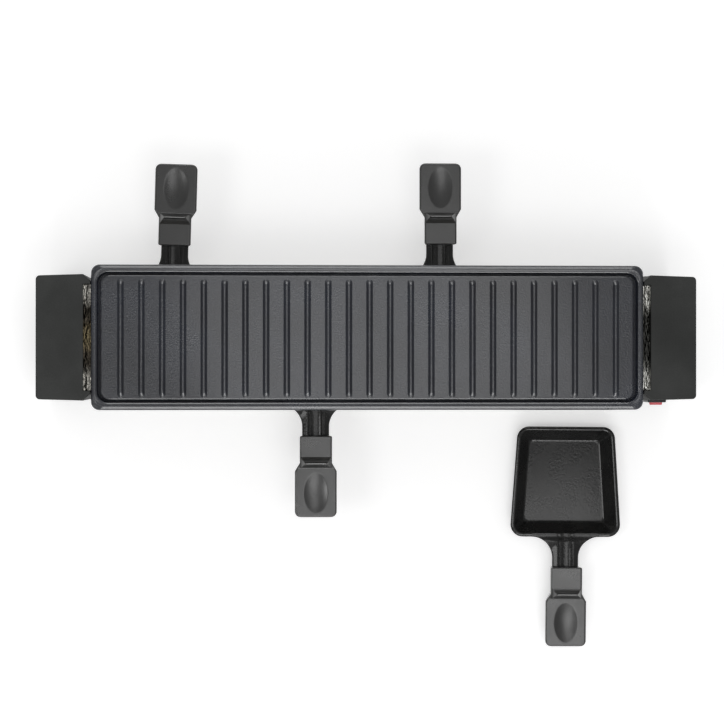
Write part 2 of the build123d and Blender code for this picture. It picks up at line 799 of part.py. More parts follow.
def pan_neck():
    """Neck sheet: flared where it leaves the rim, rising to a level tongue."""
    rise_start = pan_half + neck_flat
    rise_end = grip_start - neck_flat / 2
    tongue_end = grip_start + tongue_length
    rim_under = pan_depth - pan_sheet
    root = pan_half - pan_rim
    with BuildPart() as neck:
        with BuildSketch(Plane.XY):
            with BuildLine():
                flare_half = neck_half + neck_flare
                Polyline((-flare_half, pan_half), (-flare_half, root), (flare_half, root), (flare_half, pan_half))
                RadiusArc((flare_half, pan_half), (neck_half, pan_half + neck_flare), neck_flare)
                Polyline(
                    (neck_half, pan_half + neck_flare), (neck_half, tongue_end),
                    (-neck_half, tongue_end), (-neck_half, pan_half + neck_flare),
                )
                RadiusArc((-neck_half, pan_half + neck_flare), (-flare_half, pan_half), neck_flare)
            make_face()
        extrude(amount=sleeve_top)
        with BuildSketch(Plane.YZ):
            Polygon(
                (root, rim_under), (rise_start, rim_under), (rise_end, tongue_z), (tongue_end, tongue_z),
                (tongue_end, tongue_z + pan_sheet), (rise_end, tongue_z + pan_sheet),
                (rise_start, pan_depth), (root, pan_depth),
                align=None,
            )
        extrude(amount=flare_half, both=True, mode=Mode.INTERSECT)
        with BuildSketch(Plane.YZ):
            channel_end = grip_start + tongue_channel
            crown = tongue_z + pan_sheet + channel_height
            Polygon(
                (root, rim_under), (rise_start, rim_under), (rise_end, tongue_z), (channel_end, tongue_z),
                (channel_end, crown), (rise_end, crown),
                (rise_start, pan_depth + channel_height), (pan_half, pan_depth + channel_height),
                (root, pan_depth),
                align=None,
            )
        extrude(amount=channel_half, both=True)
        with BuildSketch(Plane.XY):
            with Locations((0, grip_start + grip_screw_place)):
                Circle(grip_screw_radius + pin_gap)
        extrude(amount=sleeve_top, mode=Mode.SUBTRACT)
    return neck.part


def pan_dish():
    """Pressed dish with sloping walls, flat rim and neck."""
    neck = pan_neck()
    wall_inset = pan_floor_inset - pan_sheet
    with BuildPart() as dish:
        with BuildSketch() as floor_outside:
            Polygon(*pan_outline(pan_floor_inset), align=None)
            fillet(floor_outside.vertices(), pan_floor_corner)
        with BuildSketch(Plane.XY.offset(pan_depth - pan_sheet)) as wall_outside:
            Polygon(*pan_outline(pan_rim - pan_sheet), align=None)
            fillet(wall_outside.vertices(), pan_corner - pan_rim + pan_sheet)
        loft()
        with BuildSketch(Plane.XY.offset(pan_depth - pan_sheet)) as rim:
            Polygon(*pan_outline(0), align=None)
            fillet(rim.vertices(), pan_corner)
        extrude(amount=pan_sheet)
        add(neck)
        with BuildSketch(Plane.XY.offset(pan_sheet)) as floor_inside:
            Polygon(*pan_outline(wall_inset + pan_sheet), align=None)
            fillet(floor_inside.vertices(), pan_floor_corner)
        with BuildSketch(Plane.XY.offset(pan_depth)) as wall_inside:
            Polygon(*pan_outline(pan_rim), align=None)
            fillet(wall_inside.vertices(), pan_corner - pan_rim)
        loft(mode=Mode.SUBTRACT)
    return dish.part


def finger_guard():
    """Ridge across the grip: long slope to the sleeve, steep slope to the pad, sloping ends."""
    guard_start = pad_start - guard_base
    foot_half = sleeve_half - guard_side_margin
    crest_top = sleeve_top + guard_height
    with BuildPart() as guard:
        with BuildSketch(Plane.YZ):
            Polygon(
                (guard_start, sleeve_top - overrun),
                (guard_start, sleeve_top),
                (guard_middle - guard_crest / 2, crest_top),
                (guard_middle + guard_crest / 2, crest_top),
                (pad_start, pad_top),
                (pad_start, pad_top - overrun),
                align=None,
            )
        extrude(amount=foot_half, both=True)
        with BuildSketch(Plane.XZ.offset(-pad_start)):
            Polygon(
                (-foot_half, pad_top - overrun), (foot_half, pad_top - overrun), (foot_half, sleeve_top),
                (guard_half, crest_top), (-guard_half, crest_top), (-foot_half, sleeve_top),
                align=None,
            )
        extrude(amount=guard_base, mode=Mode.INTERSECT)
    return guard.part


def pan_grip():
    """Moulded grip: sleeve over the tongue, finger guard and a pad with a thumb dimple."""
    dimple_radius = (dimple_half_width ** 2 + dimple_depth ** 2) / (2 * dimple_depth)
    dimple_reach = dimple_half_length * dimple_radius / dimple_half_width
    dimple_place = (grip_end - dimple_from_end, pad_top + dimple_radius - dimple_depth)
    guard = finger_guard()
    with BuildPart() as grip:
        with BuildSketch(Plane.XY.offset(grip_low)) as outline:
            Polygon(
                (-sleeve_half, grip_start), (sleeve_half, grip_start), (sleeve_half, sleeve_end),
                (pad_half, pad_start), (pad_half, grip_end), (-pad_half, grip_end),
                (-pad_half, pad_start), (-sleeve_half, sleeve_end),
                align=None,
            )
            fillet(outline.vertices().group_by(Axis.Y)[-1], pad_corner)
            fillet(outline.vertices().group_by(Axis.Y)[0], sleeve_corner)
        extrude(amount=sleeve_top - grip_low)
        with BuildSketch(Plane.YZ):
            Polygon(
                (guard_middle, sleeve_top), (pad_start, pad_top),
                (grip_end + overrun, pad_top), (grip_end + overrun, sleeve_top),
                align=None,
            )
        extrude(amount=pad_half + overrun, both=True, mode=Mode.SUBTRACT)
        fillet(grip.faces().sort_by(Axis.Z)[0].edges(), grip_edge_round)
        add(guard)
        with BuildSketch(Plane.YZ) as dimple:
            with Locations(dimple_place):
                Ellipse(dimple_reach, dimple_radius)
                Rectangle(
                    2 * dimple_reach, 2 * dimple_radius, align=(Align.CENTER, Align.MIN), mode=Mode.SUBTRACT
                )
        revolve(axis=Axis((0, 0, dimple_place[1]), (0, 1, 0)), mode=Mode.SUBTRACT)
        with BuildSketch(Plane.YZ):
            with Locations((grip_start - overrun, tongue_z - pin_gap)):
                Rectangle(
                    tongue_length + overrun + pin_gap, pan_sheet + 2 * pin_gap, align=(Align.MIN, Align.MIN)
                )
        extrude(amount=neck_half + pin_gap, both=True, mode=Mode.SUBTRACT)
        with BuildSketch(Plane.YZ):
            with Locations((grip_start - overrun, tongue_z)):
                Rectangle(
                    tongue_channel + overrun + pin_gap,
                    pan_sheet + channel_height + pin_gap,
                    align=(Align.MIN, Align.MIN),
                )
        extrude(amount=channel_half + pin_gap, both=True, mode=Mode.SUBTRACT)
        with BuildSketch(Plane.XY.offset(grip_low)):
            with Locations((0, grip_start + grip_screw_place)):
                Circle(grip_screw_radius + pin_gap)
        extrude(amount=grip_screw_head_height + grip_screw_length, mode=Mode.SUBTRACT)
        with BuildSketch(Plane.XY.offset(grip_low)):
            with Locations((0, grip_start + grip_screw_place)):
                Circle(grip_screw_head + pin_gap)
        extrude(amount=grip_screw_head_height, mode=Mode.SUBTRACT)
    return grip.part


def pan_screw():
    """Screw that holds the grip to the tongue, from below."""
    shape = screw_shape(grip_screw_radius, grip_screw_head, grip_screw_head_height, grip_screw_length)
    seat = Plane(
        origin=(0, grip_start + grip_screw_place, grip_low + grip_screw_head_height), z_dir=(0, 0, -1)
    )
    return place_screws(shape, [seat])


def rubber_feet():
    """Four rubber feet with plugs in the covers."""
    with BuildPart() as feet:
        with BuildSketch():
            with GridLocations(2 * cover_middle, foot_spread, 2, 2):
                Circle(foot_radius)
        extrude(amount=block_bottom)
        with BuildSketch():
            with GridLocations(2 * cover_middle, foot_spread, 2, 2):
                Circle(foot_plug_radius)
        extrude(amount=cover_top)
    return feet.part


def cover_screw_planes():
    """Under both covers, heads down."""
    return [
        Plane(
            origin=(side * (cover_middle + end * boss_x_spread / 2), flank * cover_boss_side, block_bottom),
            z_dir=(0, 0, -1),
        )
        for side in (-1, 1)
        for end in (-1, 1)
        for flank in (-1, 1)
    ]


def shield_screw_planes():
    """On the hot side of both shields, heads towards the middle."""
    return [
        Plane(origin=(side * shield_face, y, z), z_dir=(-side, 0, 0))
        for side in (-1, 1)
        for y, z in shield_screw_places()
    ]


def deck_screw_planes():
    """Through the deck's end flanges and the shields."""
    return [
        Plane(
            origin=(side * (shield_face - sheet), flank * deck_screw_side, deck_top - deck_screw_drop),
            z_dir=(-side, 0, 0),
        )
        for side in (-1, 1)
        for flank in (-1, 1)
    ]


def rail_screw_planes():
    """Down through the shelves into the rails."""
    return [
        Plane(origin=(side * rail_screw_x, flank * rail_screw_y, plate_bottom), z_dir=(0, 0, 1))
        for side in (-1, 1)
        for flank in (-1, 1)
    ]


def cutout_screw_planes():
    """Through the cut-out's mounting plate and the shield."""
    face = shield_back + cutout_flange_thickness
    return [
        Plane(origin=(face, 0, cutout_height + side * cutout_screw_spread / 2), z_dir=(1, 0, 0))
        for side in (-1, 1)
    ]


os.makedirs("parts", exist_ok=True)

save(grill_plate(), "grill_plate")
save(deck(), "pan_deck")
save(heating_element(), "heating_element")
save(element_bushings(), "element_bushings")
save(element_terminals(), "element_terminals")
for side_name, share in zip(("left", "middle", "right"), bracket_place_shares):
    save(element_bracket(share * plate_length), f"{side_name}_element_bracket")

rail = rear_rail()
save(rail, "rear_rail")
save(mirror(rail, about=Plane.XZ), "front_rail")

save(housing(True), "right_housing")
save(mirror(housing(False), about=Plane.YZ), "left_housing")
save(heat_shield(True), "right_heat_shield")
save(mirror(heat_shield(False), about=Plane.YZ), "left_heat_shield")
base_cover = cover()
save(base_cover, "right_base_cover")
save(mirror(base_cover, about=Plane.YZ), "left_base_cover")
save(rubber_feet(), "rubber_feet")

save(thermal_cutout(), "thermal_cutout")
save(cutout_terminals(), "cutout_terminals")
save(switch_body(), "switch_body")
save(switch_rocker(), "switch_rocker")
save(switch_pivot_pin(), "switch_pivot_pin")
save(switch_terminals(), "switch_terminals")
save(inlet_body(), "inlet_body")
save(inlet_blades(), "inlet_blades")
for lead_name, route in lead_routes().items():
    save(lead(route), lead_name)

cover_screw = screw_shape(screw_radius, screw_head_radius, screw_head_height, cover_screw_length)
shield_screw = screw_shape(screw_radius, screw_head_radius, screw_head_height, shield_screw_length)
sheet_screw = screw_shape(screw_radius, screw_head_radius, screw_head_height, sheet_screw_length)
earth_plane = Plane(origin=(shield_back, 0, earth_height), z_dir=(1, 0, 0))
save(place_screws(cover_screw, cover_screw_planes()), "cover_screws")
save(place_screws(shield_screw, shield_screw_planes()), "shield_screws")
save(place_screws(sheet_screw, deck_screw_planes()), "deck_screws")
save(place_screws(sheet_screw, rail_screw_planes()), "rail_screws")
save(place_screws(sheet_screw, cutout_screw_planes()), "cutout_screws")
save(place_screws(sheet_screw, [earth_plane]), "earth_screw")

pan_places = {
    "rear_left": Location((rear_left_x, rear_left_y, pan_on_deck), (0, 0, rear_left_turn)),
    "rear_right": Location((rear_right_x, rear_right_y, pan_on_deck), (0, 0, 0)),
    "front": Location((front_x, front_y, pan_on_deck), (0, 0, 180)),
    "free": Location((free_x, free_y, 0), (0, 0, 180)),
}
dish_shape = pan_dish()
grip_shape = pan_grip()
screw_piece = pan_screw()
for pan_name, pan_place in pan_places.items():
    save(dish_shape.moved(pan_place), f"{pan_name}_pan_dish")
    save(grip_shape.moved(pan_place), f"{pan_name}_pan_grip")
    save(screw_piece.moved(pan_place), f"{pan_name}_pan_screw")
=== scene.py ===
from math import pi, radians

import bpy
import numpy as np
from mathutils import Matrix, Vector


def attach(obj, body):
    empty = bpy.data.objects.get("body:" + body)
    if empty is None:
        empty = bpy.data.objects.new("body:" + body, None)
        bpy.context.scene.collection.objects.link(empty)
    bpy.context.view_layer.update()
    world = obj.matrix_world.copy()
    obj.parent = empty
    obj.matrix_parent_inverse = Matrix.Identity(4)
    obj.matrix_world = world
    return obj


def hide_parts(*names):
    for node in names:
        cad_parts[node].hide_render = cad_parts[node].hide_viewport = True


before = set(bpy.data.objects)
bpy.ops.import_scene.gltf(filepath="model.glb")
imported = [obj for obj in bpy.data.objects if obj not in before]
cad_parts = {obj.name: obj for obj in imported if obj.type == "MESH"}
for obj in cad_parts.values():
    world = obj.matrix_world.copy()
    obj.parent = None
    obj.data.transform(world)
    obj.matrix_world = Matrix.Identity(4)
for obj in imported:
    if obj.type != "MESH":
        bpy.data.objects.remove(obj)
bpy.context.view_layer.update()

# Raclette grill seen from above: ribbed plate, two black end housings, three pans
# pushed in beneath the plate and one pan on the table. The frame is in metres; the
# shapes below are worked out in millimetres about the middle of the grill's body.
bodyShift = 52.35                # body's middle behind the middle of the whole set
toMetres = 0.001
sharpAbove = 32                  # degrees between two faces from which their edge is sharp


# Meshes

def ringStack(cornerAt, normalTurns, insets, heights, rounds, steps=8):
    # One closed ring per row: each corner of the outline, drawn in by inset plus
    # its rounding, is the middle of an arc of that rounding that runs from the
    # normal of one side to the normal of the next.
    insets, heights, rounds = (np.asarray(a, float) for a in (insets, heights, rounds))
    corners = cornerAt((insets + rounds)[:, None])              # rows, 4, 2
    first = np.asarray(normalTurns)[:, None]
    last = np.roll(np.asarray(normalTurns), -1)[:, None]
    span = (last - first) % (2 * pi)
    turns = first + span * np.linspace(0, 1, steps)[None, :]    # 4, steps
    arcs = np.stack([np.cos(turns), np.sin(turns)], axis=-1)
    flat = corners[:, :, None, :] + rounds[:, None, None, None] * arcs[None]
    rows = flat.reshape(len(insets), -1, 2)
    high = np.broadcast_to(heights[:, None, None], rows.shape[:2] + (1,))
    return np.concatenate([rows, high], axis=-1)


def closeSkin(rings):
    # Joins each ring to the next with four-sided faces, and closes the first and
    # the last ring with a fan to their middle.
    rows, around = rings.shape[:2]
    points = np.concatenate([rings.reshape(-1, 3), rings[:1].mean(axis=1), rings[-1:].mean(axis=1)])
    row, step = np.meshgrid(np.arange(rows - 1), np.arange(around), indexing="ij")
    after = (step + 1) % around
    quads = np.stack([
        row * around + step, (row + 1) * around + step, (row + 1) * around + after, row * around + after,
    ], axis=-1).reshape(-1, 4)
    edge = np.arange(around)
    following = (edge + 1) % around
    last = (rows - 1) * around
    fans = np.concatenate([
        np.stack([edge, following, np.full(around, rows * around)], axis=-1),
        np.stack([last + following, last + edge, np.full(around, rows * around + 1)], axis=-1),
    ])
    return points, quads.tolist() + fans.tolist()


def joinSkins(skins):
    # One list of points and faces from several closed skins.
    starts = np.cumsum([0] + [len(points) for points, _ in skins[:-1]])
    faces = [[i + start for i in face] for (_, part), start in zip(skins, starts.tolist()) for face in part]
    return np.concatenate([points for points, _ in skins]), faces


def placePoints(points, x=0.0, y=0.0, z=0.0, turn=0.0):
    # Turns about the vertical, moves, and goes over to the metres of the frame.
    c, s = np.cos(radians(turn)), np.sin(radians(turn))
    turned = points @ np.array([[c, s, 0], [-s, c, 0], [0, 0, 1]])
    return (turned + np.array([x, y + bodyShift, z])) * toMetres


def makePiece(name, points, faces, body, slot, stands):
    # Puts a skin into the scene, shades it, ties it to its CAD body and hides the CAD nodes it stands in
    # for.
    mesh = bpy.data.meshes.new(name)
    mesh.from_pydata(points.tolist(), [], faces)
    mesh.polygons.foreach_set("use_smooth", [True] * len(mesh.polygons))
    mesh.set_sharp_from_angle(angle=radians(sharpAbove))
    mesh.materials.append(finishes[slot])
    piece = bpy.data.objects.new(name, mesh)
    bpy.context.collection.objects.link(piece)
    weigh = piece.modifiers.new("evenShading", "WEIGHTED_NORMAL")
    weigh.keep_sharp = True
    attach(piece, body)
    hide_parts(*stands)


# Materials

def hexColour(text):
    # sRGB hex to linear colour.
    values = np.array([int(text[i:i + 2], 16) for i in (1, 3, 5)]) / 255
    linear = np.where(values <= 0.04045, values / 12.92, ((values + 0.055) / 1.055) ** 2.4)
    return (*linear.tolist(), 1.0)


def addNode(tree, kind, settings=None, inputs=None, stops=()):
    # Adds a node, sets its properties, and links or sets its inputs. stops are the
    # colours of a ramp as (place, hex).
    node = tree.nodes.new("ShaderNode" + kind)
    for key, value in (settings or {}).items():
        setattr(node, key, value)
    for key, value in (inputs or {}).items():
        if isinstance(value, bpy.types.NodeSocket):
            tree.links.new(value, node.inputs[key])
        else:
            node.inputs[key].default_value = value
    for i, (place, colour) in enumerate(stops):
        stop = node.color_ramp.elements[i] if i < 2 else node.color_ramp.elements.new(place)
        stop.position = place
        stop.color = hexColour(colour)
    return node


# Noise that every finish is drawn with, and the values that its sum mostly keeps within
noiseLook = {
    "patchDetail": 3.0, "patchRough": 0.55, "grainDetail": 2.0, "grainRough": 0.6,
    "sumLow": 0.35, "sumHigh": 0.95,
}


def buildFinish(name, look):
    # Base of every finish: broad patches and fine grain in the colour and the
    # roughness, and the grain again as relief, fainter in a clear coat. Sizes are
    # in millimetres.
    finish = bpy.data.materials.new(name)
    finish.use_nodes = True
    tree = finish.node_tree
    tree.nodes.clear()
    place = addNode(tree, "TexCoord").outputs["Object"]
    along = addNode(tree, "Mapping", inputs={"Vector": place, "Scale": look.get("stretch", (1, 1, 1))})
    patches = addNode(tree, "TexNoise", inputs={
        "Vector": place, "Scale": 1 / (look["patchMm"] * toMetres),
        "Detail": noiseLook["patchDetail"], "Roughness": noiseLook["patchRough"],
    })
    grain = addNode(tree, "TexNoise", inputs={
        "Vector": along.outputs[0], "Scale": 1 / (look["grainMm"] * toMetres),
        "Detail": noiseLook["grainDetail"], "Roughness": noiseLook["grainRough"],
    })
    mixed = addNode(tree, "Math", {"operation": "MULTIPLY_ADD"}, {
        0: grain.outputs[0], 1: look["grainShare"], 2: patches.outputs[0],
    })
    colour = addNode(tree, "ValToRGB", inputs={0: mixed.outputs[0]}, stops=look["colours"])
    rough = addNode(tree, "MapRange", inputs={
        "Value": mixed.outputs[0], "From Min": noiseLook["sumLow"], "From Max": noiseLook["sumHigh"],
        "To Min": look["rough"][0], "To Max": look["rough"][1],
    })
    relief = addNode(tree, "Bump", inputs={
        "Height": grain.outputs[0], "Strength": look["reliefShare"], "Distance": look["reliefMm"] * toMetres,
    })
    shader = addNode(tree, "BsdfPrincipled", inputs={
        "Base Color": colour.outputs[0], "Roughness": rough.outputs[0], "Normal": relief.outputs[0],
        "Metallic": look.get("metallic", 0.0), **look.get("sockets", {}),
    })
    if "coatReliefMm" in look:
        peel = addNode(tree, "Bump", inputs={
            "Height": grain.outputs[0], "Strength": 1.0, "Distance": look["coatReliefMm"] * toMetres,
        })
        tree.links.new(peel.outputs[0], shader.inputs["Coat Normal"])
    addNode(tree, "OutputMaterial", inputs={"Surface": shader.outputs[0]})
    return finish


finishLooks = {
    # Die-cast aluminium with a sprayed non-stick coat: dark grey and pebbled by the
    # spray, under a clear top coat that keeps thin bright lines on the edges. The
    # pebbles are really about 0.4 mm and are drawn at 1.3 mm so that they show.
    "plate_coating": {
        "title": "nonStickCastAluminium", "patchMm": 60.0, "grainMm": 1.3, "grainShare": 0.45,
        "colours": [(0.35, "#13151b"), (0.62, "#191c24"), (0.9, "#262a34")],
        "rough": (0.34, 0.26), "reliefShare": 1.0, "reliefMm": 0.40,
        "sockets": {"Specular IOR Level": 0.8, "Coat Weight": 1.0, "Coat Roughness": 0.12},
    },
    # Pressed steel with a thinner non-stick coat: blacker, with a broad orange peel.
    # The peel is really about 0.6 mm and is drawn at 1.5 mm.
    "pan_coating": {
        "title": "nonStickPressedSteel", "patchMm": 35.0, "grainMm": 1.5, "grainShare": 0.5,
        "colours": [(0.35, "#0d0d0d"), (0.62, "#141414"), (0.9, "#212120")],
        "rough": (0.32, 0.24), "reliefShare": 1.0, "reliefMm": 0.50, "coatReliefMm": 0.025,
        "sockets": {"Specular IOR Level": 0.22, "Coat Weight": 0.70, "Coat Roughness": 0.11},
    },
    # Moulded glass-filled PBT with a spark-eroded texture: flat black with a dull bloom.
    "housing_plastic": {
        "title": "mouldedPbtTextured", "patchMm": 45.0, "grainMm": 1.0, "grainShare": 0.35,
        "colours": [(0.35, "#2e2f2e"), (0.62, "#353635"), (0.9, "#3e3f3e")],
        "rough": (0.62, 0.54), "reliefShare": 0.25, "reliefMm": 0.10,
        "sockets": {"Specular IOR Level": 0.2},
    },
    # The same plastic, smoother underneath the appliance.
    "cover_plastic": {
        "title": "mouldedPbtPlain", "patchMm": 40.0, "grainMm": 1.6, "grainShare": 0.30,
        "colours": [(0.35, "#262626"), (0.62, "#2d2d2d"), (0.9, "#353535")],
        "rough": (0.58, 0.48), "reliefShare": 0.15, "reliefMm": 0.06,
        "sockets": {"Specular IOR Level": 0.25},
    },
    # Compression-moulded phenolic grips: dense dark grey with a soft shine.
    "grip_plastic": {
        "title": "mouldedPhenolic", "patchMm": 22.0, "grainMm": 0.9, "grainShare": 0.35,
        "colours": [(0.35, "#121211"), (0.62, "#1a1a19"), (0.9, "#272726")],
        "rough": (0.34, 0.26), "reliefShare": 0.5, "reliefMm": 0.12,
        "sockets": {"Specular IOR Level": 1.0, "Coat Weight": 0.58, "Coat Roughness": 0.24},
    },
    # Folded stainless sheet with a rolled grain along the grill.
    "stainless": {
        "title": "rolledStainless", "patchMm": 30.0, "grainMm": 1.2, "grainShare": 0.5,
        "stretch": (0.05, 1, 1),
        "colours": [(0.35, "#a9a7a2"), (0.62, "#bdbbb6"), (0.95, "#cdcbc7")],
        "rough": (0.36, 0.24), "reliefShare": 0.15, "reliefMm": 0.04, "metallic": 1.0,
    },
    # Sheath of the element: nickel alloy gone matt brown-grey with heat.
    "element_steel": {
        "title": "oxidisedNickelAlloy", "patchMm": 14.0, "grainMm": 1.0, "grainShare": 0.4,
        "colours": [(0.35, "#4a443d"), (0.62, "#5d554b"), (0.9, "#756c60")],
        "rough": (0.62, 0.45), "reliefShare": 0.2, "reliefMm": 0.05, "metallic": 0.85,
    },
    # Unglazed steatite: chalky off-white with a fine tooth.
    "ceramic": {
        "title": "unglazedSteatite", "patchMm": 9.0, "grainMm": 0.8, "grainShare": 0.3,
        "colours": [(0.35, "#c9c3b4"), (0.62, "#d8d2c5"), (0.9, "#e2ddd2")],
        "rough": (0.78, 0.66), "reliefShare": 0.2, "reliefMm": 0.05,
    },
    # Stamped brass tabs, a little dull.
    "terminal_brass": {
        "title": "stampedBrass", "patchMm": 5.0, "grainMm": 0.7, "grainShare": 0.4,
        "stretch": (1, 0.1, 1),
        "colours": [(0.35, "#a8843f"), (0.62, "#bf9a50"), (0.9, "#d2b06a")],
        "rough": (0.42, 0.30), "reliefShare": 0.12, "reliefMm": 0.02, "metallic": 1.0,
    },
    # Zinc-plated screws: cool bright metal with a slight haze.
    "screw_steel": {
        "title": "zincPlatedSteel", "patchMm": 4.0, "grainMm": 0.6, "grainShare": 0.4,
        "colours": [(0.35, "#9fa1a2"), (0.62, "#b4b6b7"), (0.9, "#c8cacb")],
        "rough": (0.38, 0.28), "reliefShare": 0.1, "reliefMm": 0.02, "metallic": 1.0,
    },
    # Nylon frame of the switch and the inlet: black, smooth, slightly glossy.
    "switch_plastic": {
        "title": "mouldedNylon", "patchMm": 12.0, "grainMm": 0.8, "grainShare": 0.3,
        "colours": [(0.35, "#151515"), (0.62, "#1a1a1a"), (0.9, "#212121")],
        "rough": (0.36, 0.28), "reliefShare": 0.08, "reliefMm": 0.03,
    },
    # Rocker of tinted polycarbonate: clear red that lets light into its depth.
    "rocker_red": {
        "title": "tintedPolycarbonate", "patchMm": 6.0, "grainMm": 0.8, "grainShare": 0.2,
        "colours": [(0.35, "#d63a48"), (0.62, "#e2515d"), (0.9, "#ea6c76")],
        "rough": (0.24, 0.18), "reliefShare": 0.05, "reliefMm": 0.02,
        "sockets": {"Subsurface Weight": 0.6, "Subsurface Radius": (0.004, 0.001, 0.001), "IOR": 1.58},
    },
    # Moulded rubber feet: dark, quite matt.
    "foot_rubber": {
        "title": "mouldedRubber", "patchMm": 10.0, "grainMm": 0.9, "grainShare": 0.3,
        "colours": [(0.35, "#1b1b1b"), (0.62, "#222222"), (0.9, "#2b2b2a")],
        "rough": (0.85, 0.72), "reliefShare": 0.2, "reliefMm": 0.04,
    },
    # Silicone insulation in the colours of house wiring.
    "live_insulation": {
        "title": "siliconeBrown", "patchMm": 9.0, "grainMm": 0.9, "grainShare": 0.2,
        "colours": [(0.35, "#5a3521"), (0.62, "#673e28"), (0.9, "#764a31")],
        "rough": (0.60, 0.48), "reliefShare": 0.08, "reliefMm": 0.02,
    },
    "neutral_insulation": {
        "title": "siliconeBlue", "patchMm": 9.0, "grainMm": 0.9, "grainShare": 0.2,
        "colours": [(0.35, "#27538f"), (0.62, "#2f5e9e"), (0.9, "#3c6cac")],
        "rough": (0.60, 0.48), "reliefShare": 0.08, "reliefMm": 0.02,
    },
    "earth_insulation": {
        "title": "siliconeGreenYellow", "patchMm": 7.0, "grainMm": 0.9, "grainShare": 0.1,
        "colours": [(0.47, "#3f8a3a"), (0.50, "#458f3e"), (0.53, "#d8c53a")],
        "rough": (0.60, 0.48), "reliefShare": 0.08, "reliefMm": 0.02,
    },
    # Stainless sheet beside the hot plate: bright and rippled at its ends, darker towards
    # the middle with painted shade, and with a straw and brown cast on the left.
    "heat_tinted_stainless": {
        "title": "heatTintedShadedStainless", "patchMm": 8.0, "grainMm": 2.7, "grainShare": 0.5,
        "stretch": (1, 0.36, 1),
        "colours": [(0.35, "#a0a09c"), (0.62, "#bbbab6"), (0.95, "#d3d3cf")],
        "rough": (0.22, 0.12), "reliefShare": 1.0, "reliefMm": 0.85, "metallic": 1.0,
    },
}
finishes = {slot: buildFinish(look["title"], look) for slot, look in finishLooks.items()}


heatTintAndShade = {
    "reach": 42.0,               # from the grill's middle line to the bare ends
    # clouds of about 11 mm, and how far they move the tint's edges about
    "cloudMm": 100 / 9, "cloudDetail": 2.0, "cloudShift": 8.0,
    # by side, across from the middle: on the left a straw and brown cast, darkest short of
    # the ends, then bare metal; on the right dark in the middle, then bare metal by the terminals. The
    # darkening on both sides is painted shade of the narrow gap
    "left": [
        (0.0, "#877c62"), (0.20, "#6c6250"), (0.28, "#565048"), (0.48, "#4c4843"), (0.60, "#989590"),
        (1.0, "#dedcd8"),
    ],
    "right": [(0.0, "#454544"), (0.34, "#4b4b4a"), (0.46, "#737371"), (0.60, "#d0d0ce"), (1.0, "#f5f5f3")],
}


def addHeatTintAndShade(finish, look):
    # Multiplies the metal's colour by a tint, mostly painted shade, that fades out across
    # the grill with the distance from its middle line.
    tree = finish.node_tree
    shader = next(node for node in tree.nodes if node.type == "BSDF_PRINCIPLED")
    metal = shader.inputs["Base Color"].links[0].from_socket
    place = addNode(tree, "TexCoord").outputs["Object"]
    axes = addNode(tree, "SeparateXYZ", inputs={0: place})
    across = addNode(tree, "Math", {"operation": "SUBTRACT"}, {
        0: axes.outputs["Y"], 1: bodyShift * toMetres,
    })
    distance = addNode(tree, "Math", {"operation": "ABSOLUTE"}, {0: across.outputs[0]})
    cloud = addNode(tree, "TexNoise", inputs={
        "Vector": place, "Scale": 1 / (look["cloudMm"] * toMetres), "Detail": look["cloudDetail"],
    })
    shifted = addNode(tree, "Math", {"operation": "MULTIPLY_ADD"}, {
        0: cloud.outputs[0], 1: look["cloudShift"] * toMetres, 2: distance.outputs[0],
    })
    meanShift = look["cloudShift"] / 2
    share = addNode(tree, "MapRange", inputs={
        "Value": shifted.outputs[0],
        "From Min": meanShift * toMetres, "From Max": (look["reach"] + meanShift) * toMetres,
    })
    isRight = addNode(tree, "Math", {"operation": "GREATER_THAN"}, {0: axes.outputs["X"], 1: 0.0})
    left = addNode(tree, "ValToRGB", inputs={0: share.outputs[0]}, stops=look["left"])
    right = addNode(tree, "ValToRGB", inputs={0: share.outputs[0]}, stops=look["right"])
    # a colour Mix has its factor at 0, its two colours at 6 and 7, and its result at 2
    tint = addNode(tree, "Mix", {"data_type": "RGBA"}, {
        0: isRight.outputs[0], 6: left.outputs[0], 7: right.outputs[0],
    })
    both = addNode(tree, "Mix", {"data_type": "RGBA", "blend_type": "MULTIPLY"}, {
        0: 1.0, 6: metal, 7: tint.outputs[2],
    })
    # the darkening multiplied in here is painted shade towards the middle
    tree.links.new(both.outputs[2], shader.inputs["Base Color"])


addHeatTintAndShade(finishes["heat_tinted_stainless"], heatTintAndShade)
print("finishes ready:", len(finishes))


# Grill plate

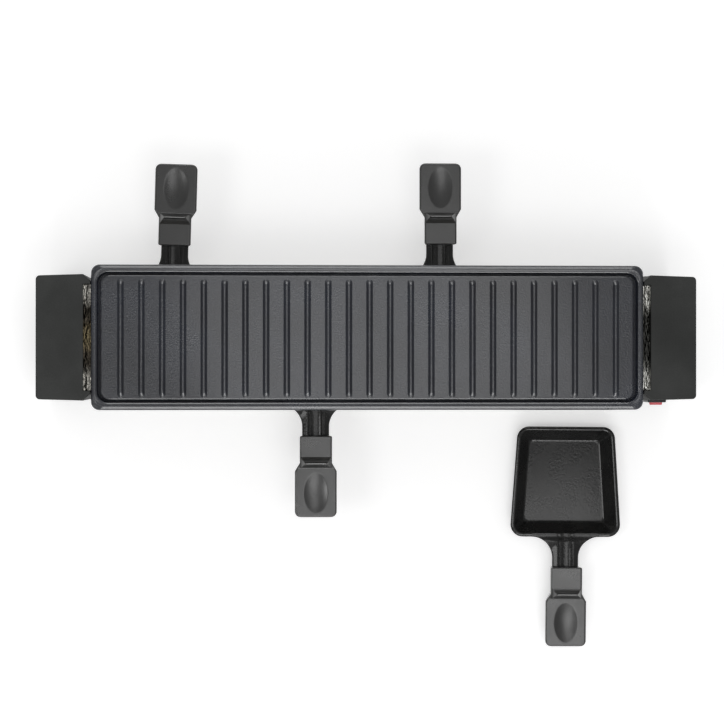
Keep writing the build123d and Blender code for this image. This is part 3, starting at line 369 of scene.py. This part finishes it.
plate = {
    "halfLength": 200.0, "halfWidth": 52.5,
    "face": 105.4, "under": 101.2,
    "ribs": 25, "ribPitch": 14.94, "ribBase": 2.28, "ribHalf": 42.45, "ribShift": (0.5, -0.8),
    "lugX": 189.5, "lugY": 20.0, "lugRadius": 2.5, "lugEnd": 92.2, "lugRound": 0.6, "lugSunk": (0.5, 0.3),
    # inset from the edge, height, corner rounding: cooking face, groove, bead of the
    # rim, sloping outer band, skirt and hollow underside
    "section": [
        (9.6, 105.4, 5.15), (8.6, 105.4, 5.65), (8.48, 105.39, 5.71), (8.42, 105.37, 5.74),
        (7.75, 105.06, 6.2), (7.69, 105, 6.25), (7.6, 104.75, 6.32), (7.5, 104.3, 6.41),
        (7.25, 103.5, 6.65), (6.85, 102.5, 7.05), (6.6, 102.3, 7.29), (6.35, 102.5, 7.53),
        (6, 103.6, 7.85), (5.78, 104.8, 8.04), (5.65, 105.8, 8.16), (5.55, 106.6, 8.23),
        (5.48, 107.0, 8.27), (5.42, 107.15, 8.32), (5.36, 107.22, 8.36), (4.62, 107.57, 8.66),
        (4.55, 107.58, 8.67), (4.45, 107.54, 8.66), (4.3, 107.42, 8.59), (3.4, 107.52, 8.09),
        (3.1, 107.66, 7.84), (2.95, 107.7, 7.73), (2.75, 107.69, 7.59),
        (2.6, 107.65, 7.49), (2.54, 107.62, 7.45), (1.16, 106.98, 6.63), (1.1, 106.94, 6.6),
        (0.98, 106.82, 6.54), (0.45, 106.35, 6.35), (0.3, 106.15, 6.3), (0.12, 105.6, 6.24),
        (0.03, 105.1, 6.21), (0, 104.5, 6.2),
        (0, 97.5, 6.2), (0.15, 97.15, 6.05), (0.5, 97, 5.7),
        (2.5, 97, 5.5), (2.85, 97.15, 5.15), (3, 97.5, 5), (3, 100.4, 5), (3.25, 100.95, 4.8),
        (3.8, 101.2, 4.4), (5, 101.2, 3.6),
    ],
    # at the plate's two ends the rim is narrower: inset and how far it is moved out,
    # for the part of the section that lies above endShiftAbove
    "endShift": [(0, 0), (1.0, 0.1), (4.9, 1.35), (6.6, 0.9), (8.1, 0.35), (9.6, 0.2)],
    "endShiftAbove": 102.2,
    # inset from the rib's foot, height over the face, corner rounding, and how much
    # further its ends are drawn in, so that they slope more gently than the sides
    "rib": [
        (-0.5, -0.4, 2.35, -0.3), (-0.3, -0.03, 2.25, -0.15), (-0.05, 0.05, 2.1, 0.0),
        (0.2, 0.25, 1.9, 0.1), (0.5, 0.6, 1.65, 0.3), (1.2, 1.45, 1.0, 1.4),
        (1.4, 1.72, 0.8, 1.75), (1.6, 1.9, 0.6, 2.05), (1.85, 2.0, 0.35, 2.3),
    ],
}


def rectangleCorners(halfX, halfY):
    # Corners of a rectangle, drawn in by the inset, for ringStack.
    signs = np.array([(1, 1), (-1, 1), (-1, -1), (1, -1)], float)

    def cornerAt(inset):
        return signs[None] * (np.array([halfX, halfY])[None, None] - inset[..., None])
    return cornerAt


squareTurns = (0.0, pi / 2, pi, 3 * pi / 2)
edgeBend = np.linspace(0, pi / 2, 6)[1:]     # steps round a rounded edge, after its start


def makePlate(look):
    # The casting's section is carried round its rounded outline; the ribs are
    # small rounded hills set into the face, and the lugs are round pegs.
    edge = rectangleCorners(look["halfLength"], look["halfWidth"])
    section = np.array(look["section"])
    rings = ringStack(edge, squareTurns, *section.T, steps=14)
    insets, heights, _ = section.T
    outward = np.interp(insets, *np.array(look["endShift"]).T) * (heights > look["endShiftAbove"])
    rings[:, :, 0] += np.sign(rings[:, :, 0]) * outward[:, None]
    skins = [closeSkin(rings)]
    insets, rises, rounds, drawn = (np.array(column[::-1]) for column in zip(*look["rib"]))
    hill = ringStack(rectangleCorners(look["ribBase"], look["ribHalf"]), squareTurns,
                     insets, look["face"] + rises, rounds, steps=8)
    hill[:, :, 1] -= np.sign(hill[:, :, 1]) * drawn[:, None]
    for place in (np.arange(look["ribs"]) - (look["ribs"] - 1) / 2) * look["ribPitch"]:
        skins.append(closeSkin(hill + np.array([place + look["ribShift"][0], look["ribShift"][1], 0])))
    radius, bend = look["lugRadius"], look["lugRound"]
    top, shoulder = look["under"] + np.array(look["lugSunk"])
    peg = ringStack(rectangleCorners(radius, radius), squareTurns, [bend, 0, 0, bend],
                    [top, shoulder, look["lugEnd"] + bend, look["lugEnd"]],
                    [radius - bend, radius, radius, radius - bend], steps=7)
    for x in (-look["lugX"], look["lugX"]):
        for y in (-look["lugY"], look["lugY"]):
            skins.append(closeSkin(peg + np.array([x, y, 0])))
    points, faces = joinSkins(skins)
    makePiece("ribbedPlate", placePoints(points), faces, "plate", "plate_coating", ["grill_plate"])


makePlate(plate)
print("grill plate ready")


# Pans

pan = {
    "halfLength": 42.5, "halfFar": 37.5, "halfNear": 43.2, "nearShift": 0.4,
    # inset from the rim, height, corner rounding: floor, wall, rolled rim and outside
    "section": [
        (14.0, 1.2, 2.6), (12.2, 1.2, 3.0), (11.55, 1.21, 3.05), (11.45, 1.24, 3.07), (10.75, 1.56, 3.2),
        (10.65, 1.62, 3.22), (10.4, 1.88, 3.28), (9.9, 2.45, 3.4), (9.4, 3.2, 3.6), (3.9, 11.0, 6.0),
        (3.4, 11.6, 6.3), (3.1, 12.0, 6.5), (2.9, 12.22, 6.65), (2.82, 12.28, 6.7), (2.2, 12.57, 7.2),
        (2.1, 12.6, 7.3), (1.8, 12.6, 7.6), (1.7, 12.58, 7.7), (1.1, 12.38, 8.4), (0.65, 12.16, 8.85),
        (0.35, 11.96, 9.15), (0.1, 11.72, 9.4), (0.0, 11.5, 9.5), (0.1, 11.3, 9.4), (0.5, 11.2, 9.0),
        (1.5, 11.15, 8.0), (2.2, 10.95, 7.4), (2.7, 10.4, 7.0), (9.0, 1.6, 4.0), (9.9, 0.6, 3.6),
        (10.9, 0.08, 3.2), (12.0, 0.0, 3.0), (14.0, 0.0, 2.6),
    ],
    "neckHalf": 10.2, "neckEnd": 68.5, "flare": 16.0, "sheet": 1.2, "edgeRound": 0.55,
    "rimTop": 12.6, "rimWidth": 2.9, "underRim": 0.02, "riseStart": 42.6, "riseEnd": 46.6, "tongueTop": 14.0,
    "curlWide": 1.3, "curlDeep": 0.45,
    # distance from the neck's middle and height: hollow middle, groove between two
    # ridges, falling side
    "across": [
        (0.0, 0.0), (1.5, 0.05), (2.4, 0.17), (3.0, 0.34), (3.6, 0.56), (3.85, 0.55), (4.1, 0.3),
        (4.5, -0.12), (4.85, -0.36), (5.05, -0.42), (5.2, -0.36), (5.5, -0.12), (5.9, 0.16), (6.2, 0.26),
        (6.45, 0.24), (6.7, 0.16), (10.2, -1.15), (14.0, -2.0), (26.0, -3.0),
    ],
    # the grooves reach out to grooveOuter and grow over the rim, from its inner edge
    # until short of its outer edge, where their ridges have a third of their height;
    # the ridges' rest and the falling sides come in from sideStart over sideRun
    "grooveOuter": 6.7, "grooveGrow": (0.2, 2.0), "ridgeAtRim": 0.35, "sideStart": 0.5, "sideRun": 9.0,
    # rows of points over the rim, round the flare and along the neck, and columns
    "rimRows": (0.3, 0.7, 1.2, 1.8, 2.4), "flareRows": 30, "neckRows": 14, "rowGap": 0.8,
    "neckColumns": 121,
}


def panCorners(inset):
    # The dish's outline widens towards the grip; its sides are drawn in evenly.
    run = (pan["halfNear"] - pan["halfFar"]) / (2 * pan["halfLength"])
    near = pan["halfNear"] - inset * (1 + run)
    far = pan["halfFar"] - inset * (1 - run)
    end = pan["halfLength"] - inset
    corners = ((near, end), (-near, end), (-far, -end), (far, -end))
    return np.stack([np.concatenate(corner, axis=-1) for corner in corners], axis=1)


def easeBetween(values, low, high):
    # 0 below low, 1 above high, and an S-curve between.
    share = np.clip((values - low) / (high - low), 0, 1)
    return share * share * (3 - 2 * share)


def dishSkin(look):
    # The dish's section carried round its outline.
    lean = np.arctan2(look["halfNear"] - look["halfFar"], 2 * look["halfLength"])
    turns = (-lean, pi / 2, pi + lean, 3 * pi / 2)
    rings = ringStack(panCorners, turns, *zip(*look["section"]), steps=12)
    return closeSkin(rings + np.array([0, look["nearShift"], 0]))


def neckSkin(look):
    # A strip whose half width follows a quarter circle from the rim to the neck and
    # whose height rises in an S-curve. Two grooves are pressed along it, the sides
    # fall a little, and the sheet's edges curl down and are round.
    root = look["halfLength"] + look["nearShift"]
    rimStart = root - look["rimWidth"]
    onRim = rimStart + np.array(look["rimRows"])
    arc = root + look["flare"] * (1 - np.cos(np.linspace(0, pi / 2, look["flareRows"])))
    straight = np.linspace(root + look["flare"] + look["rowGap"], look["neckEnd"], look["neckRows"])
    y = np.concatenate([onRim, arc, straight])
    inFlare = np.clip(root + look["flare"] - y, 0, look["flare"])
    half = look["neckHalf"] + look["flare"] - np.sqrt(look["flare"] ** 2 - inFlare ** 2)
    inner = np.linspace(-1, 1, look["neckColumns"])
    flat = half[:, None] - look["edgeRound"]
    around = look["edgeRound"] * np.sin(edgeBend)
    x = np.concatenate([-flat - around[::-1], flat * inner, flat + around], axis=1)
    turns = np.concatenate([edgeBend[::-1], np.zeros_like(inner), edgeBend])
    drop = look["edgeRound"] * (1 - np.cos(turns))
    rise = easeBetween(y, look["riseStart"], look["riseEnd"])
    base = look["rimTop"] - look["underRim"] + (look["tongueTop"] - look["rimTop"]) * rise
    pressed = np.interp(np.abs(x), *np.array(look["across"]).T)
    growFrom, growShort = look["grooveGrow"]
    grow = easeBetween(y, rimStart + growFrom, root - growShort)[:, None]
    calm = easeBetween(y, root - look["sideStart"], root + look["sideRun"])[:, None]
    ridge = look["ridgeAtRim"] + (1 - look["ridgeAtRim"]) * calm
    inGrooves = np.abs(x) < look["grooveOuter"]
    pressed = np.where(inGrooves, grow * np.where(pressed > 0, ridge, 1.0), calm) * pressed
    fromEdge = np.clip((half[:, None] - np.abs(x)) / look["curlWide"], 0, 1)
    top = base[:, None] + pressed - look["curlDeep"] * calm * (1 - fromEdge) ** 2
    y2 = np.broadcast_to(y[:, None], x.shape)
    upper = np.stack([x, y2, top - drop], axis=-1)
    lower = np.stack([x, y2, top - look["sheet"] + drop], axis=-1)[:, ::-1]
    return closeSkin(np.concatenate([upper, lower], axis=1))


grip = {
    "start": 65.7, "length": 60.9, "low": 9.5, "startRound": 1.2, "startEdge": 0.8,
    "sleeveHalf": 12.1, "sleeveEnd": 86.0, "sleeveTop": 21.5,
    "padHalf": 15.7, "padStart": 92.1, "padTop": 19.0, "padCorner": 4.4,
    "edge": 1.3, "lean": 0.8, "lowShare": 0.8,
    "dimpleHalfWidth": 9.0, "dimpleHalfLength": 15.2, "dimpleDepth": 1.35, "dimpleFromEnd": 18.2,
    "dimpleSoft": 0.04,
    # rows of points: at the sleeve's face, one every rowPitch until short of the pad's
    # end, at the guard's fillet as shares of it, and round the pad's end; and columns
    "faceRows": (0.0, 0.08, 0.25, 0.5, 0.8, 1.2), "bodyFrom": 1.7, "rowPitch": 0.5, "rowShort": 0.2,
    "filletShares": (0.9, 1.0, 1.9, 2.0), "endRows": 14, "columns": 57,
    # ridge between sleeve and pad: where it starts, peaks and ends, half widths of its
    # foot and its crest, how hollow its slopes are, its facet towards the pad, how far
    # its crest reaches either way, and how deep its foot and its skirt are sunk
    "guardStart": 81.2, "guardMiddle": 85.9, "guardEnd": 88.8, "guardTop": 26.2,
    "guardFoot": 11.6, "guardHalf": 7.8, "guardEndRound": 0.45, "guardFillet": 0.65,
    "guardScoop": 1.9, "guardHollow": 1.25, "guardFacet": 0.65, "guardCrest": (0.15, 0.12),
    "guardSunk": (0.2, 1.2), "guardTaper": 0.8, "guardCorner": 0.06,
    # shares of its height: its rings, and where its ends' rounding and its facet start
    "guardShares": (0.0, 0.04, 0.12, 0.25, 0.42, 0.6, 0.76, 0.88, 0.935, 0.95, 0.99, 1.0),
    "endRoundShare": 0.88, "facetShare": 0.95,
}


def cutBack(distance, radius):
    # How far a corner of that radius draws in at a distance from the end.
    near = np.clip(radius - distance, 0, radius)
    return radius - np.sqrt(np.maximum(radius ** 2 - near ** 2, 0))


def gripSkin(look):
    # Rings across the grip, close together along it: a flat-bottomed rounded
    # section that leans in towards the bottom and whose half width and top height
    # follow the length, with the thumb dimple as a shallow bowl taken from the top.
    end = look["start"] + look["length"]
    corner, fillet = look["padCorner"], look["guardFillet"]
    sleeveFace = look["start"] + np.array(look["faceRows"])
    body = np.arange(look["start"] + look["bodyFrom"], end - corner - look["rowShort"], look["rowPitch"])
    guardFoot = look["guardEnd"] + fillet * np.array(look["filletShares"])
    padEnd = end - corner + corner * np.sin(np.linspace(0, pi / 2, look["endRows"]))
    y = np.sort(np.concatenate([sleeveFace, body, guardFoot, padEnd]))
    fromStart, fromEnd = y - look["start"], end - y
    half = np.interp(y, [look["sleeveEnd"], look["padStart"]], [look["sleeveHalf"], look["padHalf"]])
    half = half - cutBack(fromStart, look["startRound"]) - cutBack(fromEnd, corner)
    lowered = cutBack(fromStart, look["startEdge"]) + cutBack(fromEnd, look["edge"])
    flat = np.interp(y, [look["guardMiddle"], look["guardEnd"] + fillet, look["guardEnd"] + 2 * fillet],
                     [look["sleeveTop"], look["padTop"] + fillet / 2, look["padTop"]])

    # Once round the section: along the top, down the two rounded edges of one side,
    # two points underneath, and up the other side. reach is the share of the flat
    # half width; out and rise are shares of the edge's rounding.
    across = np.linspace(-1, 1, look["columns"])
    level, below = np.zeros_like(across), np.zeros(2)
    sideOut = np.concatenate([np.sin(edgeBend), np.cos(edgeBend)])
    sideRise = np.concatenate([np.cos(edgeBend) - 1, 1 - np.sin(edgeBend)])
    sideTop = np.repeat([1.0, 0.0], len(edgeBend))
    reach = np.concatenate([across, np.ones_like(sideOut), [0.5, -0.5], -np.ones_like(sideOut)])
    out = np.concatenate([level, sideOut, below, -sideOut[::-1]])
    rise = np.concatenate([level, sideRise, below, sideRise[::-1]])
    isTop = np.concatenate([level + 1, sideTop, below, sideTop[::-1]])
    edge = look["edge"]
    x = (half[:, None] - edge - look["lean"] * (1 - isTop)) * reach + edge * out
    y2 = np.broadcast_to(y[:, None], x.shape)
    dimpleMiddle = end - look["dimpleFromEnd"]
    bowl = 1 - (x / look["dimpleHalfWidth"]) ** 2 - ((y2 - dimpleMiddle) / look["dimpleHalfLength"]) ** 2
    soft = 0.5 * (bowl + np.sqrt(bowl ** 2 + look["dimpleSoft"] ** 2))
    top = (flat - lowered)[:, None] - look["dimpleDepth"] * soft
    low = look["low"] + lowered[:, None] * look["lowShare"]
    z = isTop * top + (1 - isTop) * low + edge * rise
    return closeSkin(np.stack([x, y2, z], axis=-1)[:, ::-1])


def guardSkin(look):
    # Ridge between sleeve and pad: rings that shrink from the foot to a thin crest,
    # each with its own reach towards the sleeve and towards the pad. The slopes are
    # hollow, more so to the sleeve, and a narrow facet along the crest faces the pad.
    share = np.array(look["guardShares"])
    footSunk, skirtSunk = look["guardSunk"]
    crestToSleeve, crestToPad = look["guardCrest"]
    facet = np.interp(share, [look["facetShare"], 1.0], [look["guardFacet"], crestToPad])
    sleeveSide, padSide = look["guardMiddle"] - look["guardStart"], look["guardEnd"] - look["guardMiddle"]
    toSleeve = sleeveSide * (1 - share) ** look["guardScoop"] + crestToSleeve
    toPad = padSide * (1 - share) ** look["guardHollow"] + facet
    half = look["guardFoot"] + (look["guardHalf"] - look["guardFoot"]) * share ** look["guardTaper"]
    half = half - np.interp(share, [look["endRoundShare"], 1.0], [0, look["guardEndRound"]])
    low = look["sleeveTop"] - footSunk
    z = low + (look["guardTop"] - low) * share
    # one more ring under the foot, sunk into the grip
    skirt = look["padTop"] - look["sleeveTop"] - skirtSunk
    toSleeve, toPad, half = (np.concatenate([a[:1], a]) for a in (toSleeve, toPad, half))
    z = np.concatenate([z[:1] + skirt, z])
    corners = np.full_like(z, look["guardCorner"])
    ring = ringStack(rectangleCorners(1.0, 1.0), squareTurns, np.zeros_like(z), z, corners, steps=6)
    long = np.where(ring[..., 1] > 0, ring[..., 1] * toPad[:, None], ring[..., 1] * toSleeve[:, None])
    rings = np.stack([ring[..., 0] * half[:, None], long + look["guardMiddle"], ring[..., 2]], axis=-1)
    return closeSkin(rings[::-1])


# Middle of each dish, height of its underside and its turn
panPlaces = {
    "rear_left": (-144.0, 3.4, 34.3, -1.5),
    "rear_right": (56.4, 4.9, 34.3, 0.0),
    "front": (-36.9, -7.1, 34.3, 180.0),
    "free": (157.1, -109.45, 0.0, 179.5),
}
dishPoints, dishFaces = joinSkins([dishSkin(pan), neckSkin(pan)])
gripPoints, gripFaces = joinSkins([gripSkin(grip), guardSkin(grip)])
for panName, place in panPlaces.items():
    pieceName = panName.replace("_l", "L").replace("_r", "R")
    makePiece(f"{pieceName}Dish", placePoints(dishPoints, *place), dishFaces,
              f"{panName}_pan", "pan_coating", [f"{panName}_pan_dish"])
    makePiece(f"{pieceName}Grip", placePoints(gripPoints, *place), gripFaces,
              f"{panName}_pan", "grip_plastic", [f"{panName}_pan_grip"])
print("pans ready:", len(panPlaces))


# CAD pieces that stay get their finish

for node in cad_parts.values():
    slotName = node.data.materials[0].name.split(".")[0]
    for holder in node.material_slots:
        holder.material = finishes[slotName]
print("CAD pieces dressed:", len(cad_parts))


# Table, light and camera

studio = {
    "floorHalf": 6.0, "floorColour": "#f7f7f7", "floorGlow": 0.37,
    "skyLevel": 0.48, "glossLevel": 0.26, "aim": (0.0, 0.05, 0.05),
    # place, size and power of each softbox, in metres and watts
    "softboxes": {
        "plateTop": ((0.10, 0.08, 1.70), (0.37, 0.56), 0.86),
        "panTop": ((0.19, -0.48, 1.70), (0.74, 0.50), 2.7),
        "rear": ((0.00, 1.43, 1.21), (1.10, 0.32), 4.3),
        "front": ((0.10, -1.33, 1.21), (1.10, 0.30), 5.6),
        "left": ((-0.78, -0.24, 1.30), (0.45, 0.40), 2.1),
    },
}


def addShinyRays(tree, ray):
    # 1 for the rays that gloss and glass send out, 0 for all others.
    return addNode(tree, "Math", {"operation": "MAXIMUM"}, {
        0: ray.outputs["Is Glossy Ray"], 1: ray.outputs["Is Transmission Ray"],
    }).outputs[0]


def makeFloor(look):
    # Pale sheet that keeps the object's shadow. Where it is seen, by the camera or in
    # a reflection, it also glows, so that it comes out nearly white.
    half = look["floorHalf"]
    corners = [(-half, -half, 0), (half, -half, 0), (half, half, 0), (-half, half, 0)]
    mesh = bpy.data.meshes.new("table")
    mesh.from_pydata(corners, [], [(0, 1, 2, 3)])
    floor = bpy.data.objects.new("table", mesh)
    bpy.context.collection.objects.link(floor)
    paint = bpy.data.materials.new("matWhitePaper")
    paint.use_nodes = True
    tree = paint.node_tree
    tree.nodes.clear()
    sheet = addNode(tree, "BsdfDiffuse", inputs={"Color": hexColour(look["floorColour"])})
    ray = addNode(tree, "LightPath")
    seen = addNode(tree, "Math", {"operation": "MAXIMUM"}, {
        0: addShinyRays(tree, ray), 1: ray.outputs["Is Camera Ray"],
    })
    share = addNode(tree, "Math", {"operation": "MULTIPLY"}, {0: seen.outputs[0], 1: look["floorGlow"]})
    glow = addNode(tree, "Emission", inputs={"Strength": share.outputs[0]})
    both = addNode(tree, "AddShader", inputs={0: sheet.outputs[0], 1: glow.outputs[0]})
    addNode(tree, "OutputMaterial", inputs={"Surface": both.outputs[0]})
    mesh.materials.append(paint)


def makeSky(look):
    # White to the camera, skyLevel as light, and darker to gloss and glass, so that
    # the black surfaces keep their depth.
    world = bpy.data.worlds.new("studio")
    bpy.context.scene.world = world
    world.use_nodes = True
    tree = world.node_tree
    tree.nodes.clear()
    ray = addNode(tree, "LightPath")
    shiny = addNode(tree, "MapRange", inputs={
        "Value": addShinyRays(tree, ray), "To Min": look["skyLevel"], "To Max": look["glossLevel"],
    })
    level = addNode(tree, "Math", {"operation": "MAXIMUM"}, {
        0: shiny.outputs[0], 1: ray.outputs["Is Camera Ray"],
    })
    glow = addNode(tree, "Background", inputs={"Color": (1, 1, 1, 1), "Strength": level.outputs[0]})
    addNode(tree, "OutputWorld", inputs={"Surface": glow.outputs[0]})


def addSoftbox(name, place, size, power, target):
    # Rectangular lamp that faces the target.
    lamp = bpy.data.lights.new(name, "AREA")
    lamp.shape = "RECTANGLE"
    lamp.size, lamp.size_y = size
    lamp.energy = power
    holder = bpy.data.objects.new(name, lamp)
    bpy.context.collection.objects.link(holder)
    aim = np.array(target) - np.array(place)
    holder.location = place
    holder.rotation_euler = Vector(aim).to_track_quat("-Z", "Y").to_euler()


view = {
    "place": (-0.0781, 0.0318, 1.600),      # metres, from the fit to the plate, housings and pans
    "turns": (0.0019, -0.0489, 0.0003),     # radians
    "lens": 102.93, "sensor": 36.0,
}


def makeCamera(look):
    # Nearly straight down, as the photograph was taken.
    data = bpy.data.cameras.new("photoView")
    data.lens = look["lens"]
    data.sensor_width = look["sensor"]
    data.sensor_fit = "HORIZONTAL"
    camera = bpy.data.objects.new("photoView", data)
    bpy.context.collection.objects.link(camera)
    camera.location = look["place"]
    camera.rotation_euler = look["turns"]
    bpy.context.scene.camera = camera


makeFloor(studio)
makeSky(studio)
for side, (place, size, power) in studio["softboxes"].items():
    addSoftbox(side + "Softbox", place, size, power, studio["aim"])
makeCamera(view)
bpy.context.scene.view_settings.view_transform = "Standard"
print("studio ready")
